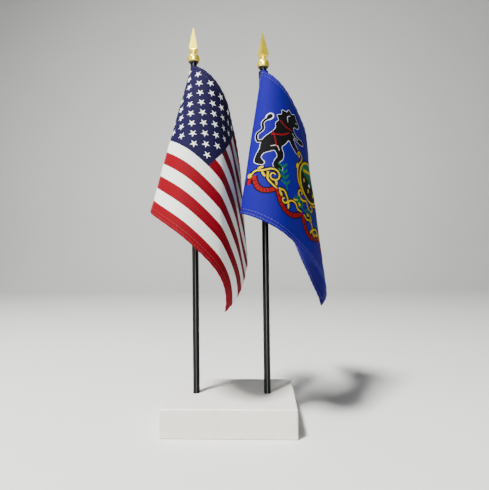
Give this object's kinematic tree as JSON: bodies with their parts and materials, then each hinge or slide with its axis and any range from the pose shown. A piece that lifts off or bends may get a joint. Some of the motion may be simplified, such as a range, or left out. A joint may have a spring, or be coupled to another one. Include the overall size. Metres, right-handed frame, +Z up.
{
  "type": "desk flag stand",
  "caption": "Low rectangular board holding two slim upright staffs, each with a spear finial and a small draped cloth flag.",
  "frame": {"origin": "centre of the board's underside", "axes": "+Z up along the staffs, +X from the left staff to the right staff, front of the board towards -Y"},
  "size_m": [0.1213, 0.1289, 0.2844],
  "materials": {
    "painted_board": "white paint, satin",
    "staff": "gloss black",
    "spear": "metallised gold",
    "left_cloth": "printed woven polyester, red, white and blue",
    "right_cloth": "printed woven polyester, royal blue"
  },
  "bodies": {
    "base": {"board": "painted_board"},
    "left_pole": {"left_staff": "staff", "left_spear": "spear"},
    "right_pole": {"right_staff": "staff", "right_spear": "spear"},
    "left_banner": {"left_sleeve": "left_cloth", "left_flag": "left_cloth"},
    "right_banner": {"right_sleeve": "right_cloth", "right_flag": "right_cloth"}
  },
  "joints": [
    {"name": "left_lift", "type": "slide", "parent": "base", "child": "left_pole", "axis": [0, 0, 1], "range_m": [0, 0.014]},
    {"name": "right_lift", "type": "slide", "parent": "base", "child": "right_pole", "axis": [0, 0, 1], "range_m": [0, 0.02]},
    {"name": "left_turn", "type": "hinge", "parent": "left_pole", "child": "left_banner", "pos_m": [-0.0254, 0, 0.2], "axis": [0, 0, 1], "range_deg": [-20, 5]},
    {"name": "right_turn", "type": "hinge", "parent": "right_pole", "child": "right_banner", "pos_m": [0.0254, 0, 0.2], "axis": [0, 0, 1], "range_deg": [-5, 40]}
  ]
}
